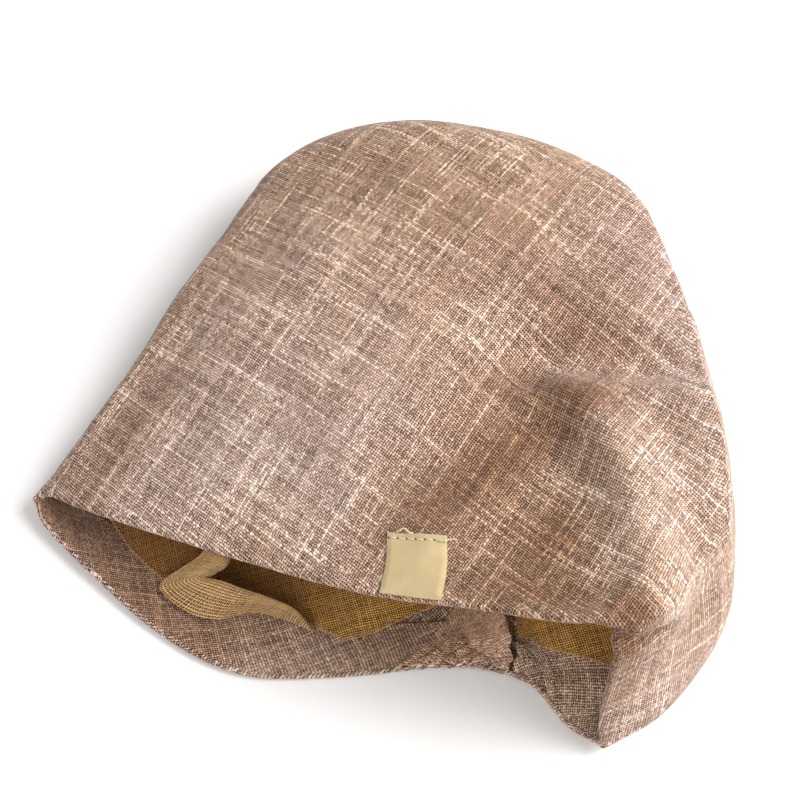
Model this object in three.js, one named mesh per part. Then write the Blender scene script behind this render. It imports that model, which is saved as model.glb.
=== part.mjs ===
// A soft slouchy beanie of slubby woven cloth, lying on its back panel with the mouth towards -Y.
// X runs across the mouth, Y from the mouth to the crown and Z up from the surface that it lies on.
// All sizes are millimetres. The hat is a bag of two panels that meet in soft folds at the sides
// and at the crown. Inside it are a facing turned in at the hem, a gathered casing at the nape and
// a loose net lining. A woven label is sewn to the front of the hem.
import * as THREE from "three";
import { mergeVertices } from "three/addons/utils/BufferGeometryUtils.js";

// Driving sizes
const CLOTH = 1.4; // wall of the shell
const FACING_CLOTH = 1.1;
const NET = 0.9;
const PLY_GAP = 0.35; // from one ply to the next
const BAG_DEPTH = 232; // hem to crown, along the middle of the front panel
const FACING_DEPTH = 30; // from the hem into the hat
const HEM_TURN = 2.2; // the facing starts this far in from the folded hem
const NET_LAP = 3; // the net laps the facing's inner edge by this much
const PANEL_COLUMNS = 32; // facets across one panel
const HEM_ROWS = [0, HEM_TURN, 8, 17, FACING_DEPTH - NET_LAP, FACING_DEPTH]; // from the hem
const CROWN_ROWS = 13;
const NET_FOLD_ROWS = [37, 45]; // more rows of the net, where its fold stands
const HAT_MIDDLE = { x: -8.94, y: -13.49 }; // middle of the plan, which becomes the origin

// Gathers of the nape casing. from and to are columns of the hem, counted on from the left fold.
const CASING = { from: 42, to: 46, gathers: 15, swell: 1.7, elastic: 1.2, elasticDepth: 12 };
const SLIT = 0.26; // the open slit between the casing and the facing, in columns of about 10 mm
const BUTT_GAP = 0.05; // the narrow gap at the casing's other end, in columns

// The front edge of the hem, from the left tip over to the right tip. across is -1 at the left
// fold and 1 at the right one.
const FRONT_HEM = [
  { across: -1, x: -139, y: -46, z: 6 },
  { across: -0.93, x: -134, y: -46.5, z: 11 },
  { across: -0.83, x: -121, y: -53.5, z: 15 },
  { across: -0.6, x: -92, y: -68, z: 24 },
  { across: -0.28, x: -53, y: -86, z: 35 },
  { across: 0.02, x: -17, y: -101, z: 45 },
  { across: 0.2, x: 5, y: -107, z: 50 },
  { across: 0.43, x: 34, y: -114, z: 57 },
  { across: 0.58, x: 53, y: -119, z: 62 },
  { across: 0.7, x: 66, y: -122, z: 64.5 },
  { across: 0.78, x: 73, y: -125, z: 62 },
  { across: 0.84, x: 71.5, y: -128, z: 51 },
  { across: 0.9, x: 69.5, y: -131, z: 36 },
  { across: 0.95, x: 69.5, y: -138, z: 19 },
  { across: 1, x: 71, y: -145, z: 5 },
];

// The back edge of the hem, which lies on the surface.
const BACK_HEM = [
  { across: -1, x: -139, y: -46, z: 6 },
  { across: -0.93, x: -135, y: -55, z: 3 },
  { across: -0.83, x: -125, y: -66, z: 2 },
  { across: -0.68, x: -109, y: -81.5, z: 1 },
  { across: -0.5, x: -90, y: -98, z: 0 },
  { across: -0.35, x: -71, y: -110, z: 0 },
  { across: -0.2, x: -54, y: -116, z: 0 },
  { across: 0, x: -26, y: -116.5, z: 0 },
  { across: 0.15, x: -7, y: -115, z: 0 },
  { across: 0.3, x: 11, y: -113, z: 0 },
  { across: 0.45, x: 29, y: -113.5, z: 0 },
  { across: 0.6, x: 46, y: -119, z: 0 },
  { across: 0.8, x: 59, y: -134.5, z: 0 },
  { across: 1, x: 71, y: -145, z: 5 },
];

// The fold where the two panels meet at the crown.
const CROWN_FOLD = [
  { across: -1, x: -53, y: 97 },
  { across: -0.7, x: -29, y: 112 },
  { across: -0.3, x: 3, y: 118 },
  { across: 0.1, x: 34, y: 113.5 },
  { across: 0.5, x: 63, y: 103 },
  { across: 0.82, x: 84, y: 88.5 },
  { across: 1, x: 94, y: 78 },
];

// The side folds. up is 0 at the hem and 1 at the crown.
const LEFT_FOLD = [
  { up: 0, x: -139, y: -46, z: 6 },
  { up: 0.15, x: -129, y: -33, z: 7 },
  { up: 0.3, x: -115, y: -11, z: 9 },
  { up: 0.45, x: -101.5, y: 12.5, z: 11 },
  { up: 0.6, x: -90.5, y: 35, z: 13 },
  { up: 0.75, x: -76, y: 57.5, z: 15 },
  { up: 0.88, x: -64.5, y: 78, z: 16 },
  { up: 1, x: -53, y: 97, z: 17 },
];
const RIGHT_FOLD = [
  { up: 0, x: 71, y: -145, z: 5 },
  { up: 0.1, x: 92, y: -133, z: 6 },
  { up: 0.2, x: 108, y: -116, z: 10 },
  { up: 0.3, x: 117.5, y: -100, z: 16 },
  { up: 0.42, x: 120.5, y: -80, z: 22 },
  { up: 0.55, x: 121, y: -54, z: 25 },
  { up: 0.66, x: 119.5, y: -24, z: 25 },
  { up: 0.77, x: 114.5, y: 7, z: 24 },
  { up: 0.89, x: 105, y: 46, z: 23 },
  { up: 1, x: 94, y: 78, z: 20 },
];
const CROWN_RADIUS = 21; // of the fold at the crown

// How high the front panel stands over the surface, at five stations across each section.
const RISE_STATIONS = { left: -0.9, midLeft: -0.5, middle: 0, midRight: 0.45, right: 0.85 };
const RISE = [
  { up: 0, left: 14, midLeft: 30, middle: 46, midRight: 58, right: 62 },
  { up: 0.15, left: 19, midLeft: 36, middle: 50, midRight: 57, right: 68 },
  { up: 0.32, left: 24, midLeft: 42, middle: 52, midRight: 52, right: 70 },
  { up: 0.5, left: 28, midLeft: 46, middle: 54, midRight: 49, right: 66 },
  { up: 0.68, left: 31, midLeft: 48, middle: 55, midRight: 53, right: 60 },
  { up: 0.85, left: 33, midLeft: 48, middle: 54, midRight: 53, right: 54 },
  { up: 1, left: 34, midLeft: 46, middle: 50, midRight: 50, right: 50 },
];

// Folds and hollows of the front panel, each along an arc through three plan points. The lift goes
// from lift0 to lift1 along the arc, and left and right are how far it spreads to its two sides.
const FRONT_FOLDS = [
  { x0: 88, y0: -112, x1: 98, y1: -66, x2: 66, y2: -22, lift0: 3, lift1: 9, left: 13, right: 18 },
  { x0: 118, y0: -14, x1: 84, y1: 0, x2: 36, y2: -10, lift0: -5, lift1: -6, left: 11, right: 9 },
  { x0: 58, y0: -34, x1: 42, y1: -52, x2: 30, y2: -86, lift0: -8, lift1: -3, left: 22, right: 26 },
];
// The fold of net that stands up inside the mouth
const NET_FOLDS = [
  { x0: -88, y0: -58, x1: -66, y1: -78, x2: -30, y2: -90, lift0: 16, lift1: 8, left: 15, right: 6 },
];
const NET_SAG = 5; // how far the net hangs below the front panel

// The label on the front panel, which leans a little against the panel's own lines
const LABEL = { thick: 0.9, columns: 6, rows: 6 };
const LABEL_TOP = { left: -0.01, right: 0.135, up: 0.138 };
const LABEL_BOTTOM = { left: 0.115, right: 0.265, up: 0.003 };

// A smooth curve through the values at their stations, read at t.
function through(stations, values, t) {
  const last = stations.length - 1;
  const span = (k) => stations[k + 1] - stations[k];
  const slope = (k) => (values[k + 1] - values[k]) / span(k);
  const tangent = (k) => {
    if (k === 0) return slope(0);
    if (k === last) return slope(last - 1);
    return (slope(k - 1) * span(k) + slope(k) * span(k - 1)) / (span(k) + span(k - 1));
  };
  let i = 0;
  while (i < last - 1 && t > stations[i + 1]) i++;
  const h = span(i);
  const q = THREE.MathUtils.clamp((t - stations[i]) / h, 0, 1);
  return (
    (1 + 2 * q) * (1 - q) ** 2 * values[i] +
    q * (1 - q) ** 2 * h * tangent(i) +
    q * q * (3 - 2 * q) * values[i + 1] +
    q * q * (q - 1) * h * tangent(i + 1)
  );
}

const column = (table, name) => table.map((row) => row[name]);
const read = (table, key, name, t) => through(column(table, key), column(table, name), t);
const planPoint = (table, key, t) =>
  new THREE.Vector2(read(table, key, "x", t), read(table, key, "y", t));

// The plan of a panel: a patch blended between its hem, its two side folds and the crown fold.
function panelPlan(hem, across, up) {
  const w = (1 + across) / 2;
  const corner = (row) => new THREE.Vector2(row.x, row.y);
  return planPoint(hem, "across", across)
    .multiplyScalar(1 - up)
    .addScaledVector(planPoint(CROWN_FOLD, "across", across), up)
    .addScaledVector(planPoint(LEFT_FOLD, "up", up), 1 - w)
    .addScaledVector(planPoint(RIGHT_FOLD, "up", up), w)
    .addScaledVector(corner(hem[0]), -(1 - up) * (1 - w))
    .addScaledVector(corner(hem.at(-1)), -(1 - up) * w)
    .addScaledVector(corner(CROWN_FOLD[0]), -up * (1 - w))
    .addScaledVector(corner(CROWN_FOLD.at(-1)), -up * w);
}

// The height of the fold line beside a point of a panel, which is also the radius of that fold.
function foldHeight(across, up) {
  const w = (1 + across) / 2;
  return (1 - w) * read(LEFT_FOLD, "up", "z", up) + w * read(RIGHT_FOLD, "up", "z", up);
}

// How far round a fold's quarter circle a point is: 0 on the fold line, 1 a radius away from it.
const quarter = (distance, radius) =>
  distance >= radius ? 1 : Math.sqrt(2 * radius * distance - distance ** 2) / radius;

function foldShare(across, up, radius) {
  const span = planPoint(RIGHT_FOLD, "up", up).distanceTo(planPoint(LEFT_FOLD, "up", up));
  const side = quarter(((1 - Math.abs(across)) * span) / 2, radius);
  return side * quarter((1 - up) * BAG_DEPTH, CROWN_RADIUS);
}

function rise(across, up) {
  const heights = Object.keys(RISE_STATIONS).map((name) => read(RISE, "up", name, up));
  return through(Object.values(RISE_STATIONS), heights, across);
}

// What the folds add at a plan point: a bell across each arc, which fades at the arc's ends.
const ARC_STEPS = 24;
function foldLift(folds, x, y) {
  const here = new THREE.Vector3(x, y, 0);
  let lift = 0;
  for (const f of folds) {
    const arc = new THREE.QuadraticBezierCurve(
      new THREE.Vector2(f.x0, f.y0),
      new THREE.Vector2(f.x1, f.y1),
      new THREE.Vector2(f.x2, f.y2),
    );
    const marks = arc.getPoints(ARC_STEPS).map((p) => new THREE.Vector3(p.x, p.y, 0));
    let nearest = { distance: Infinity };
    for (let k = 0; k < ARC_STEPS; k++) {
      const piece = new THREE.Line3(marks[k], marks[k + 1]);
      const q = piece.closestPointToPointParameter(here, true);
      const away = here.clone().sub(piece.at(q, new THREE.Vector3()));
      const side = piece.delta(new THREE.Vector3()).cross(away).z;
      if (away.length() < nearest.distance) {
        nearest = { distance: away.length(), side, along: (k + q) / ARC_STEPS };
      }
    }
    const spread = nearest.side > 0 ? f.left : f.right;
    const height = f.lift0 + (f.lift1 - f.lift0) * nearest.along;
    const ends = Math.sqrt(Math.sin(Math.PI * (0.08 + 0.84 * nearest.along)));
    lift += height * Math.exp(-((nearest.distance / spread) ** 2)) * ends;
  }
  return lift;
}

// The share of the hem's own shape that is still felt at a height, for a reach up the bag.
function hemShare(up, reach) {
  const q = Math.min(1, up / reach);
  return (1 - q) ** 2 * (1 + 2 * q);
}

function frontHeight(across, up) {
  const fold = foldHeight(across, up);
  const belly = Math.sqrt(1 - across ** 2) ** 1.3 * Math.sqrt(1 - up ** 5);
  return fold * (1 + foldShare(across, up, fold)) + (rise(across, up) - 2 * fold) * belly;
}

function frontPanel(across, up) {
  const p = panelPlan(FRONT_HEM, across, up);
  const hem = read(FRONT_HEM, "across", "z", across) - frontHeight(across, 0);
  const middle = Math.min(1, 1.6 * Math.sqrt(1 - across ** 2), 6 * (1 - up), 10 * up);
  const z = frontHeight(across, up) + hem * hemShare(up, 0.3);
  return new THREE.Vector3(p.x, p.y, z + foldLift(FRONT_FOLDS, p.x, p.y) * middle);
}

// The back panel lies flat on the surface inside its folds.
function backPanel(across, up) {
  const p = panelPlan(BACK_HEM, across, up);
  const height = (at) => {
    const fold = foldHeight(across, at);
    return fold * (1 - foldShare(across, at, fold));
  };
  const hem = read(BACK_HEM, "across", "z", across) - height(0);
  return new THREE.Vector3(p.x, p.y, Math.max(0, height(up) + hem * hemShare(up, 0.12)));
}

const steps = (count) => Array.from({ length: count + 1 }, (_, k) => k / count);

// The facets of the shell: a ring of columns from the left fold over the front panel to the right
// fold and back under the hat, in rows from the hem to the crown.
const RING_COLUMNS = 2 * PANEL_COLUMNS;
const crownRow = (v) => HEM_ROWS.at(-1) + (BAG_DEPTH - HEM_ROWS.at(-1)) * (1 - (1 - v) ** 1.5);
const ROWS = [...HEM_ROWS, ...steps(CROWN_ROWS).slice(1).map(crownRow)];
const facets = ROWS.map((row) =>
  Array.from({ length: RING_COLUMNS }, (_, k) => {
    const across = -Math.cos((Math.PI * k) / PANEL_COLUMNS);
    const up = row / BAG_DEPTH;
    return k <= PANEL_COLUMNS ? frontPanel(across, up) : backPanel(across, up);
  }),
);

const turned = (k) => (k + RING_COLUMNS) % RING_COLUMNS;
function direction(j, k) {
  const round = facets[j][turned(k + 1)].clone().sub(facets[j][turned(k - 1)]);
  const above = facets[Math.min(j + 1, ROWS.length - 1)][k];
  return round.cross(above.clone().sub(facets[Math.max(j - 1, 0)][k])).normalize();
}

// The outward direction at each corner of the facets. Front and back share it at the crown fold,
// and at that fold's two ends it also takes in the side fold.
const away = facets.map((ring, j) =>
  ring.map((_, k) => {
    if (j < ROWS.length - 1) return direction(j, k);
    if (k % PANEL_COLUMNS > 0) return direction(j, k).add(direction(j, turned(-k))).normalize();
    const crown = direction(j, turned(k - 1)).add(direction(j, turned(k + 1))).normalize();
    return crown.add(direction(j - 1, k)).normalize();
  }),
);

// A point of a ply, at a column and a distance from the hem, at a depth under the outside.
function plyPoint(col, row, depth) {
  let j = 0;
  while (j < ROWS.length - 2 && row > ROWS[j + 1]) j++;
  const up = (row - ROWS[j]) / (ROWS[j + 1] - ROWS[j]);
  const k = Math.floor(col);
  const corner = (i, at) =>
    facets[i][turned(at)].clone().addScaledVector(away[i][turned(at)], -depth);
  const side = (at) => corner(j, at).lerp(corner(j + 1, at), up);
  return side(k).lerp(side(k + 1), col - k);
}

const grid = (rows, columns, place) => rows.map((row) => columns.map((col) => place(col, row)));
const span = (count, from, to) => steps(count).map((v) => from + (to - from) * v);
const RING = span(RING_COLUMNS, 0, RING_COLUMNS).slice(0, -1);

// A closed wall between an outer and an inner grid of points. A ring runs on round the hat, and a
// sealed one needs no rim at its last row, because its two halves meet there.
const CLOSED_BAG = { ring: true, sealed: true };
function wall(outer, inner, { ring = false, sealed = false } = {}) {
  const rows = outer.length;
  const count = outer[0].length;
  const points = [...outer.flat(), ...inner.flat()];
  const at = (layer, row, k) => (layer * rows + row) * count + (k % count);
  const faces = [];
  const quad = (a, b, c, d) => faces.push(a, b, c, a, c, d);
  const last = ring ? count : count - 1;
  for (let k = 0; k < last; k++) {
    for (let j = 0; j < rows - 1; j++) {
      quad(at(0, j, k), at(0, j, k + 1), at(0, j + 1, k + 1), at(0, j + 1, k));
      quad(at(1, j + 1, k), at(1, j + 1, k + 1), at(1, j, k + 1), at(1, j, k));
    }
    quad(at(1, 0, k), at(1, 0, k + 1), at(0, 0, k + 1), at(0, 0, k));
    if (!sealed) {
      const j = rows - 1;
      quad(at(0, j, k), at(0, j, k + 1), at(1, j, k + 1), at(1, j, k));
    }
  }
  for (let j = 0; !ring && j < rows - 1; j++) {
    quad(at(0, j, 0), at(0, j + 1, 0), at(1, j + 1, 0), at(1, j, 0));
    quad(at(1, j, last), at(1, j + 1, last), at(0, j + 1, last), at(0, j, last));
  }
  const geometry = new THREE.BufferGeometry().setFromPoints(points);
  geometry.setIndex(faces);
  return mergeVertices(geometry, 1e-3);
}

function piece(name, geometry, color, roughness) {
  const material = new THREE.MeshStandardMaterial({ color, roughness, metalness: 0 });
  const mesh = new THREE.Mesh(geometry, material);
  mesh.name = name;
  return mesh;
}

function crownShell() {
  const ply = (depth) => grid(ROWS, RING, (col, row) => plyPoint(col, row, depth));
  return piece("crown_shell", wall(ply(0), ply(CLOTH), CLOSED_BAG), 0xb09687, 0.9);
}

// The facing goes round the whole hem, from the casing's far end on to the slit at its near end.
const FACING_TOP = CLOTH + PLY_GAP;
function hemFacing() {
  const rows = HEM_ROWS.slice(1);
  const first = CASING.to - RING_COLUMNS;
  const whole = span(CASING.from - first, first, CASING.from).slice(1, -1);
  const columns = [first + BUTT_GAP, ...whole, CASING.from - SLIT];
  const ply = (depth) => grid(rows, columns, (col, row) => plyPoint(col, row, depth));
  return piece("hem_facing", wall(ply(FACING_TOP), ply(FACING_TOP + FACING_CLOTH)), 0xa88d7c, 0.9);
}

// The casing: an even underside, and gathers on top that ease off away from the elastic.
function napeCasing() {
  const rows = [HEM_TURN, 5, 9, 14, 21, FACING_DEPTH];
  const columns = span(4 * CASING.gathers, CASING.from, CASING.to);
  const thickness = (col, row) => {
    const share = (col - CASING.from) / (CASING.to - CASING.from);
    const wave = 0.5 - 0.5 * Math.cos(2 * Math.PI * CASING.gathers * share);
    const ease = 1 / (1 + (row / CASING.elasticDepth) ** 4);
    return FACING_CLOTH + (CASING.swell * wave + CASING.elastic) * ease;
  };
  const under = grid(rows, columns, (col, row) => plyPoint(col, row, FACING_TOP));
  const over = grid(rows, columns, (col, row) =>
    plyPoint(col, row, FACING_TOP + thickness(col, row)),
  );
  return piece("nape_casing", wall(under, over), 0xa88d7c, 0.9);
}

// The net: close to the facing where it is sewn, then loose, with one fold standing in the mouth.
function netLining() {
  const start = FACING_DEPTH - NET_LAP;
  const rows = [start, FACING_DEPTH, ...NET_FOLD_ROWS, ...ROWS.slice(HEM_ROWS.length)];
  const sewn = FACING_TOP + FACING_CLOTH + PLY_GAP;
  const place = (extra) => (col, row) => {
    const loose = Math.sin((Math.PI * (row - start)) / (BAG_DEPTH - start)) ** 0.7;
    const front = Math.max(0, Math.sin((Math.PI * col) / PANEL_COLUMNS));
    const p = plyPoint(col, row, sewn + extra + NET_SAG * loose * front);
    if (front === 0) p.z += foldLift(NET_FOLDS, p.x, p.y);
    return p;
  };
  const net = wall(grid(rows, RING, place(0)), grid(rows, RING, place(NET)), CLOSED_BAG);
  return piece("net_lining", net, 0xb08a52, 0.8);
}

function frontLabel() {
  const { lerp } = THREE.MathUtils;
  const columnAt = (across) => (Math.acos(-across) * PANEL_COLUMNS) / Math.PI;
  const place = (depth) =>
    steps(LABEL.rows).map((v) =>
      steps(LABEL.columns).map((u) => {
        const left = lerp(LABEL_BOTTOM.left, LABEL_TOP.left, v);
        const right = lerp(LABEL_BOTTOM.right, LABEL_TOP.right, v);
        const row = lerp(LABEL_BOTTOM.up, LABEL_TOP.up, v) * BAG_DEPTH;
        return plyPoint(columnAt(lerp(left, right, u)), row, depth);
      }),
    );
  return piece("front_label", wall(place(-PLY_GAP - LABEL.thick), place(-PLY_GAP)), 0xd6c896, 0.7);
}

const hat = new THREE.Group();
hat.add(crownShell(), hemFacing(), napeCasing(), netLining(), frontLabel());
hat.position.set(-HAT_MIDDLE.x, -HAT_MIDDLE.y, 0);

export default hat;
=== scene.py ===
import math
from functools import partial

import bpy
import numpy as np
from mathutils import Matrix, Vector


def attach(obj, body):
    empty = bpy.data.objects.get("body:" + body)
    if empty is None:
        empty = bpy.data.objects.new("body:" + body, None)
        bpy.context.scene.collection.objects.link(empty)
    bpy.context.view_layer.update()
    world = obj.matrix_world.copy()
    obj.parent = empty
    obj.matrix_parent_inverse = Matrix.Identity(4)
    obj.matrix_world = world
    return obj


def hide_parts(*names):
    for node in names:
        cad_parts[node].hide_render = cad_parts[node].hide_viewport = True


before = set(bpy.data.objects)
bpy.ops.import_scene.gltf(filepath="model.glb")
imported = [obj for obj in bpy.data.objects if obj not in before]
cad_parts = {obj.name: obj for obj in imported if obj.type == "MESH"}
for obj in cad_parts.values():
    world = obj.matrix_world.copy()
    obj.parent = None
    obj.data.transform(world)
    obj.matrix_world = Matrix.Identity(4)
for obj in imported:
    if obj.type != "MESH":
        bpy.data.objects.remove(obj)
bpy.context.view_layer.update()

# Camera. It looks down on the lying hat from 60 degrees above the surface, square to the mouth.
# The hat's tables below are measured from a point a little behind and right of the middle of its
# plan, which is also what the camera looks at.
MM = 0.001
MIDDLE = np.array([-8.94, -13.49, 0.0])  # middle of the plan in the tables' millimetres
camera_angle = math.radians(60)
camera_distance = 0.702
aim = Vector(-MIDDLE * MM)
back = Vector((0, -math.cos(camera_angle), math.sin(camera_angle)))
camera = bpy.data.objects.new("camera", bpy.data.cameras.new("camera"))
camera.data.lens = 80
camera.location = aim + back * camera_distance
camera.rotation_euler = back.to_track_quat("Z", "Y").to_euler()
bpy.context.scene.collection.objects.link(camera)
bpy.context.scene.camera = camera

# Studio. A plain pale floor and a big soft light from the right and a little behind, with a weak
# fill from the left front and an even pale surround.
bpy.context.scene.view_settings.view_transform = "Standard"
REACH = 6  # the floor's half width in metres, past every view's edge
SINK = 0.0004  # the floor lies this far under the hat, so that the two never touch


def feed(tree, socket, value):
    """Links a socket to another one, or sets it to a plain value."""
    if isinstance(value, bpy.types.NodeSocket):
        tree.links.new(value, socket)
    else:
        socket.default_value = value


def fill(tree, sockets, **values):
    """Feeds the named sockets. Underscores in the names stand for spaces."""
    for label, value in values.items():
        feed(tree, sockets[label.replace("_", " ")], value)


def new_material(name):
    """A new material, its node tree, and its shader's inputs."""
    material = bpy.data.materials.new(name)
    material.use_nodes = True
    return material, material.node_tree, material.node_tree.nodes["Principled BSDF"].inputs


corners = [(-REACH, -REACH, 0), (REACH, -REACH, 0), (REACH, REACH, 0), (-REACH, REACH, 0)]
floor_mesh = bpy.data.meshes.new("studio_floor")
floor_mesh.from_pydata(corners, [], [(0, 1, 2, 3)])
floor = bpy.data.objects.new("studio_floor", floor_mesh)
floor.location.z = -SINK
bpy.context.scene.collection.objects.link(floor)
floor_paint, tree, shader = new_material("studio_floor")
fill(tree, shader, Base_Color=(0.86, 0.86, 0.86, 1), Roughness=0.9)
floor_mesh.materials.append(floor_paint)


def soft_light(name, place, size, watts, colour):
    """A square lamp of that size at that place, turned to the middle of the hat."""
    lamp = bpy.data.lights.new(name, "AREA")
    lamp.size, lamp.energy, lamp.color = size, watts, colour
    holder = bpy.data.objects.new(name, lamp)
    holder.location = place
    holder.rotation_euler = (Vector(place) - Vector((0, 0, 0.03))).to_track_quat("Z", "Y").to_euler()
    bpy.context.scene.collection.objects.link(holder)


soft_light("key", (0.85, 0.12, 0.72), 0.9, 23, (1.0, 0.975, 0.97))
soft_light("fill", (-0.4, -1.0, 0.8), 1.0, 9, (1.0, 0.98, 0.97))
world = bpy.data.worlds.new("surround")
world.use_nodes = True
sky = world.node_tree.nodes["Background"].inputs
fill(world.node_tree, sky, Color=(1, 0.99, 0.98, 1), Strength=0.42)
bpy.context.scene.world = world

# Crown shell. The bag of the hat is one layer of plain-woven cloth, in mauve-brown yarns with cream
# slubs. A front panel stands over a back panel that lies on the surface, and the two meet along the
# side folds and the crown fold. At the hem the cloth is turned in over itself.
BAG_DEPTH = 232
COLUMNS = 64  # places round the bag are counted in these, from the left fold over the front
CROWN_RADIUS = 21  # of the round fold along the crown
# The panels' borders as they lie. across runs from -1 at the left fold to 1 at the right one, and up
# from 0 at the hem to 1 at the crown.
FRONT_HEM = dict(
    across=[-1, -0.93, -0.83, -0.6, -0.28, 0.02, 0.2, 0.43, 0.58, 0.7, 0.76, 0.8, 0.84, 0.9, 0.95, 1],
    x=[-139, -134, -121, -92, -53, -17, 5, 34, 53, 66, 72, 75, 73.5, 70.5, 69.5, 71],
    y=[
        -46, -46.5, -53.5, -68, -86, -101, -107, -114, -119, -122, -124.5, -123, -126.5, -131, -138,
        -145,
    ],
    z=[6, 11, 15, 24, 35, 45, 50, 57, 62, 64.5, 63, 57, 49, 36, 19, 5],
)
BACK_HEM = dict(
    across=[-1, -0.93, -0.83, -0.68, -0.5, -0.35, -0.2, 0, 0.15, 0.3, 0.45, 0.6, 0.8, 1],
    x=[-139, -135, -125, -109, -90, -71, -54, -26, -7, 11, 29, 46, 59, 71],
    y=[-46, -55, -66, -81.5, -98, -110, -116, -116.5, -115, -113, -113.5, -119, -134.5, -145],
    z=[6, 3, 2, 1, 0, 0, 0, 0, 0, 0, 0, 0, 0, 5],
)
CROWN_FOLD = dict(
    across=[-1, -0.7, -0.3, 0.1, 0.5, 0.82, 1],
    x=[-53, -29, 3, 34, 63, 84, 94],
    y=[97, 112, 118, 113.5, 103, 88.5, 78],
)
LEFT_FOLD = dict(
    up=[0, 0.15, 0.3, 0.45, 0.6, 0.75, 0.88, 1],
    x=[-139, -129, -115, -101.5, -90.5, -76, -64.5, -53],
    y=[-46, -33, -11, 12.5, 35, 57.5, 78, 97],
    z=[6, 7, 9, 11, 13, 15, 16, 17],
)
RIGHT_FOLD = dict(
    up=[0, 0.1, 0.2, 0.3, 0.42, 0.55, 0.66, 0.77, 0.89, 1],
    x=[71, 92, 108, 117.5, 120.5, 121, 119.5, 114.5, 105, 94],
    y=[-145, -133, -116, -100, -80, -54, -24, 7, 46, 78],
    z=[5, 6, 10, 16, 22, 25, 25, 24, 23, 20],
)
# Height of the front panel at five stations across, for each station up the bag.
RISE_ACROSS = [-0.9, -0.5, 0, 0.45, 0.85]
RISE_UP = [0, 0.15, 0.32, 0.5, 0.68, 0.85, 1]
RISE = [
    [14, 30, 46, 58, 62],
    [19, 36, 50, 57, 68],
    [24, 42, 52, 52, 70],
    [28, 46, 54, 49, 66],
    [31, 48, 55, 53, 60],
    [33, 48, 54, 53, 54],
    [34, 46, 50, 50, 50],
]
LIP = (6.5, 0.758, 0.03)  # how far the hem hangs over at its right corner, where, and the spread
LIP_REACH = 0.14  # how far up the bag that overhang reaches
FRONT_REACH = 0.3  # how far up the hem's own heights are felt, on the front and on the back
BACK_REACH = 0.12
FRONT_FOLDS = [  # three points of each large fold's curve, heights at its ends, spread to each side
    dict(x=(88, 98, 66), y=(-112, -66, -22), lift=(3, 9), left=13, right=18),
    dict(x=(118, 84, 36), y=(-14, 0, -10), lift=(-5, -6), left=11, right=9),
    dict(x=(54, 36, 26), y=(-32, -54, -88), lift=(-6, -3.5), left=24, right=28),
]


def through(stations, values, t):
    """A smooth curve through values at stations, read at t. Between two stations it is the cubic
    whose end slopes are the weighted means of the slopes on either side of each station."""
    x, y = np.asarray(stations, float), np.asarray(values)
    h = np.diff(x).reshape((-1,) + (1,) * (y.ndim - 1))
    d = np.diff(y, axis=0) / h
    inner = (d[:-1] * h[1:] + d[1:] * h[:-1]) / (h[1:] + h[:-1])
    m = np.concatenate([d[:1], inner, d[-1:]])
    t = np.asarray(t, float)
    i = np.clip(np.searchsorted(x, t, side="right") - 1, 0, len(x) - 2)
    q = np.clip((t - x[i]) / np.diff(x)[i], 0, 1).reshape(t.shape + (1,) * (y.ndim - 1))
    near = (1 + 2 * q) * (1 - q) ** 2 * y[i] + q * (1 - q) ** 2 * h[i].reshape(q.shape) * m[i]
    return near + q * q * (3 - 2 * q) * y[i + 1] + q * q * (q - 1) * h[i].reshape(q.shape) * m[i + 1]


def plan_line(table, key, t):
    """Plan points of a table's curve at t."""
    return np.stack([through(table[key], table["x"], t), through(table[key], table["y"], t)], -1)


def panel_plan(hem, across, up):
    """Plan of a panel: the two blends between opposite borders, less the blend of the corners."""
    w = ((1 + across) / 2)[..., None]
    u = up[..., None]
    corner = [np.array([t["x"][k], t["y"][k]]) for t in (hem, CROWN_FOLD) for k in (0, -1)]
    ends = (1 - u) * plan_line(hem, "across", across) + u * plan_line(CROWN_FOLD, "across", across)
    sides = (1 - w) * plan_line(LEFT_FOLD, "up", up) + w * plan_line(RIGHT_FOLD, "up", up)
    low = (1 - w) * corner[0] + w * corner[1]
    high = (1 - w) * corner[2] + w * corner[3]
    return ends + sides - (1 - u) * low - u * high


def fold_height(across, up):
    """Height of the fold line beside a point: the side folds' heights, mixed by how far across."""
    w = (1 + across) / 2
    left, right = (through(fold["up"], fold["z"], up) for fold in (LEFT_FOLD, RIGHT_FOLD))
    return (1 - w) * left + w * right


def quarter(distance, radius):
    """Height round a fold's quarter circle, 0 on the fold line and 1 a radius away from it."""
    d = np.minimum(distance, radius)
    return np.sqrt(np.maximum(2 * radius * d - d * d, 0)) / radius


def fold_share(across, up, radius):
    """The side fold's quarter circle times the crown fold's."""
    span = plan_line(RIGHT_FOLD, "up", up) - plan_line(LEFT_FOLD, "up", up)
    side = quarter((1 - np.abs(across)) * np.linalg.norm(span, axis=-1) / 2, radius)
    return side * quarter((1 - up) * BAG_DEPTH, CROWN_RADIUS)


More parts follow.
